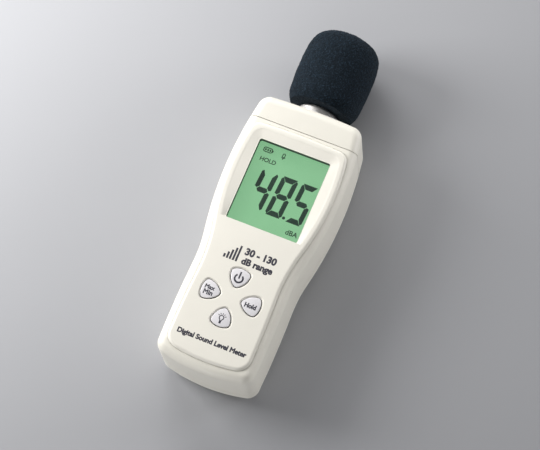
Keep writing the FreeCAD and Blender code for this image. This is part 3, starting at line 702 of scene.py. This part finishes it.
BAR_HEIGHTS = (1.6, 2.9, 4.3, 5.7, 7.1)
BAR_STEP = 1.35
BAR_WIDE = 0.85
BARS_X = -10.2
BARS_Y = -34.3
PANEL_WORDS = [
    ("30 - 130", 4.9, -30.1, 14.0),
    ("dB range", 4.9, BARS_Y, 14.0),
    ("Digital Sound Level Meter", 0.3, -71.0, 31.0),
]
MAX_MIN_WORDS = [("Max", -9.65, -49.5, 4.5), ("Min", -9.65, -51.9, 4.1)]
HOLD_WORD = [("Hold", 9.1, -50.9, 5.2)]
POWER_AT = (-0.05, -40.8)
LIGHT_AT = (-0.05, -59.0)


def on_panel(x, y):
    return PANEL_FACE + INK_LIFT


def key_centre(body):
    a = math.radians(KEYS[body])
    return KEY_ARM * math.cos(a), KEYS_Y + KEY_ARM * math.sin(a)


def on_key(body):
    """Height of the ink on a key's domed face."""
    cx, cy = key_centre(body)

    def surface(x, y):
        return KEY_BALL_AT + math.sqrt(KEY_BALL**2 - (x - cx) ** 2 - (y - cy) ** 2) + INK_LIFT

    return surface


def panel_printing():
    """Level bars with a measuring range, and the instrument's kind along the bottom edge."""
    bars = []
    for i, high in enumerate(BAR_HEIGHTS):
        left = BARS_X + i * BAR_STEP
        right = left + BAR_WIDE
        top = BARS_Y + high
        bars.append([(left, BARS_Y), (right, BARS_Y), (right, top), (left, top)])
    marks = slabs("marks", bars, on_panel, INK_THICK)
    words = lettering("words", PANEL_WORDS, on_panel, INK_THICK, PANEL_WEIGHT)
    return joined("panel_printing", marks, words)


def power_symbol():
    """Open ring with a bar down through its gap."""
    ring = arc(0, 0, 1.75, 128, 412, 40)
    bar = [(0, 3.0), (0, 2.2), (0, 1.4), (0, -0.1)]
    rings = strips([(ring, 0.37), (bar, 0.35)], POWER_AT)
    return slabs("power_symbol", rings, on_key("key_power"), KEY_INK)


def light_symbol():
    """Bulb: open globe, two neck lines, a cap and five rays."""
    lines = [
        (arc(0, 0, 0.95, -60, 240, 28), 0.2),
        ([(-0.45, -0.78), (-0.36, -1.3)], 0.19),
        ([(0.45, -0.78), (0.36, -1.3)], 0.19),
    ]
    for turn in (30, 60, 90, 120, 150):
        x, y = math.cos(math.radians(turn)), math.sin(math.radians(turn))
        lines.append(([(1.4 * x, 1.4 * y), (2.05 * x, 2.05 * y)], 0.16))
    cap = [(-0.52, -1.22), (0.52, -1.22), (0.4, -2.6), (-0.4, -2.6)]
    rings = strips(lines, LIGHT_AT) + [[(LIGHT_AT[0] + x, LIGHT_AT[1] + y) for x, y in cap]]
    return slabs("light_symbol", rings, on_key("key_light"), KEY_INK)


def build_printing(ink, cell_ink):
    add_piece("display_reading", display_reading(), cell_ink, "root")
    add_piece("panel_printing", panel_printing(), ink, "root")
    add_piece("power_symbol", power_symbol(), ink, "key_power")
    add_piece("light_symbol", light_symbol(), ink, "key_light")
    max_min = lettering("max_min_words", MAX_MIN_WORDS, on_key("key_max_min"), KEY_INK, MAX_MIN_WEIGHT)
    add_piece("max_min_words", max_min, ink, "key_max_min")
    hold = lettering("hold_word", HOLD_WORD, on_key("key_hold"), KEY_INK, HOLD_WEIGHT)
    add_piece("hold_word", hold, ink, "key_hold")


# ---------------------------------------------------------------- the key mat

MAT_EDGE = 35


def key_mat_quarter(name, direction):
    """The quarter of the silicone mat under one key, cut from its solid along the cross's diagonals."""
    bm = bmesh.new()
    bm.from_mesh(NODES["key_mat"].data)
    bmesh.ops.remove_doubles(bm, verts=bm.verts, dist=1e-6)
    for side in (135, -135):
        a = math.radians(direction + side)
        cut = bmesh.ops.bisect_plane(
            bm,
            geom=bm.verts[:] + bm.edges[:] + bm.faces[:],
            plane_co=(0, KEYS_Y * MM, 0),
            plane_no=(math.cos(a), math.sin(a), 0),
            clear_outer=True,
        )
        rim = [part for part in cut["geom_cut"] if isinstance(part, bmesh.types.BMEdge)]
        bmesh.ops.holes_fill(bm, edges=rim)
    mesh = bpy.data.meshes.new(name)
    bm.to_mesh(mesh)
    bm.free()
    mesh.polygons.foreach_set("use_smooth", [True] * len(mesh.polygons))
    mesh.set_sharp_from_angle(angle=math.radians(MAT_EDGE))
    return mesh


def build_key_mat(silicone):
    """The key mat, cut into one quarter under each key, in place of the mat's own solid."""
    for body, direction in KEYS.items():
        name = body.replace("key", "mat")
        piece = new_piece(name, key_mat_quarter(name, direction), silicone)
        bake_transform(piece)
        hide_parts("key_mat")


# ---------------------------------------------------------------- the scene

IVORY = (0.86, 0.835, 0.755)


def dress_nodes():
    case = moulded("case_plastic", IVORY, 0.46, 0.22, 9, 0.02)
    dress(case, "front_housing", "rear_cover", "battery_door")
    # Painted shade: the cap darkens towards this colour in its seams and narrow gaps.
    seam_shade = (0.08, 0.07, 0.06)
    dress(moulded("cap_plastic", shade(IVORY, 0.97), 0.46, 0.22, 9, 0.02, crease_shade=seam_shade), "head_cap")
    panel = moulded("panel_plastic", (0.865, 0.84, 0.765), 0.4, 0.2, 5, 0.018)
    dress(panel, "front_panel")
    # Painted shade: the keys darken towards this colour in the gaps round them.
    dark = (0.05, 0.045, 0.05)
    grey = (0.8, 0.785, 0.815)
    keys = moulded("key_plastic", grey, 0.26, 0.3, 2.5, 0.02, coat=0.3, crease_shade=dark, reach=0.8)
    dress(keys, "key_power", "key_max_min", "key_light", "key_hold")
    black = moulded("black_plastic", (0.03, 0.03, 0.035), 0.5, 0.2, 6, 0.1)
    # Black plastic parts; the window gasket's black walls also stand in for the shade line along the
    # display's top and left edges, as painted shade.
    dress(black, "window_gasket", "connector_strip", "capsule_holder")
    dress(moulded("white_plastic", (0.74, 0.74, 0.72), 0.5, 0.25, 6), "display_frame")
    dress(clear_plastic("window_plastic"), "display_window")
    dress(lit_display("display", (0.145, 0.3, 0.167), 1.62), "display_glass")
    dress(moulded("light_guide", (0.72, 0.84, 0.74), 0.35, 0.3, 4), "light_guide")
    dress(moulded("lamp_body", (0.7, 0.8, 0.66), 0.3, 0.3, 3), "backlight_lamp")
    dress(solder_mask("board"), "circuit_board")
    dress(moulded("chip_plastic", (0.02, 0.02, 0.022), 0.55, 0.18, 7, 0.15), "chips")
    can = metal("can_metal", (0.75, 0.75, 0.77), 0.3, (1.0, 1.0, 0.08))
    dress(can, "capacitors", "crystal")
    dress(moulded("trimmer_plastic", (0.06, 0.14, 0.42), 0.42, 0.2, 5), "trimmer")
    dress(cell_jacket("cell_jacket"), "battery_1", "battery_2", "battery_3")
    spring = metal("spring_steel", (0.7, 0.7, 0.72), 0.28, (0.1, 1.0, 1.0))
    dress(spring, "battery_springs", "battery_contacts")
    nickel = metal("mic_metal", (0.74, 0.73, 0.72), 0.34, (1.0, 0.05, 1.0), 0.08)
    dress(nickel, "mic_tube", "mic_capsule", "mic_grille")
    satin = metal("satin_nickel", (0.86, 0.84, 0.83), 0.48, (1.0, 0.05, 1.0), 0.08)
    dress(satin, "mic_collar")
    dress(metal("screw_steel", (0.42, 0.42, 0.44), 0.35), "case_screws", "board_screws")
    dress(rubber("wire_red", (0.55, 0.03, 0.02), 0.45), "battery_lead_red")
    dress(rubber("wire_black", (0.02, 0.02, 0.02), 0.45), "battery_lead_black")
    dress(rubber("wire_grey", (0.25, 0.25, 0.26), 0.5), "mic_lead")
    dress(foil_label("label"), "rating_label")


def add_floor():
    mesh = bpy.data.meshes.new("floor")
    half = FLOOR_HALF
    mesh.from_pydata(
        [(-half, -half, 0), (half, -half, 0), (half, half, 0), (-half, half, 0)],
        [],
        [(0, 1, 2, 3)],
    )
    floor = bpy.data.objects.new("floor", mesh)
    floor.location.z = -FLOOR_DROP
    mesh.materials.append(floor_paper("floor_paper", FLOOR_COLOUR))
    bpy.context.scene.collection.objects.link(floor)


def build_studio():
    add_camera()
    add_floor()
    add_sky(SKY, SKY_COLOUR)
    for lamp in LAMPS:
        add_area(*lamp)
    bpy.context.scene.view_settings.view_transform = "Standard"


def build_windscreen(material):
    foam = add_piece("foam_windscreen", foam_windscreen("foam_windscreen"), material, "windscreen")
    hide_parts("windscreen")


build_studio()
dress_nodes()
build_printing(
    printed_ink("printed_ink", (0.035, 0.034, 0.05)),
    printed_ink("cell_ink", (0.012, 0.04, 0.026), 0.4),
)
build_key_mat(rubber("silicone", (0.62, 0.62, 0.62), 0.5))
build_windscreen(open_cell_foam("foam", (0.0046, 0.0084, 0.0128)))
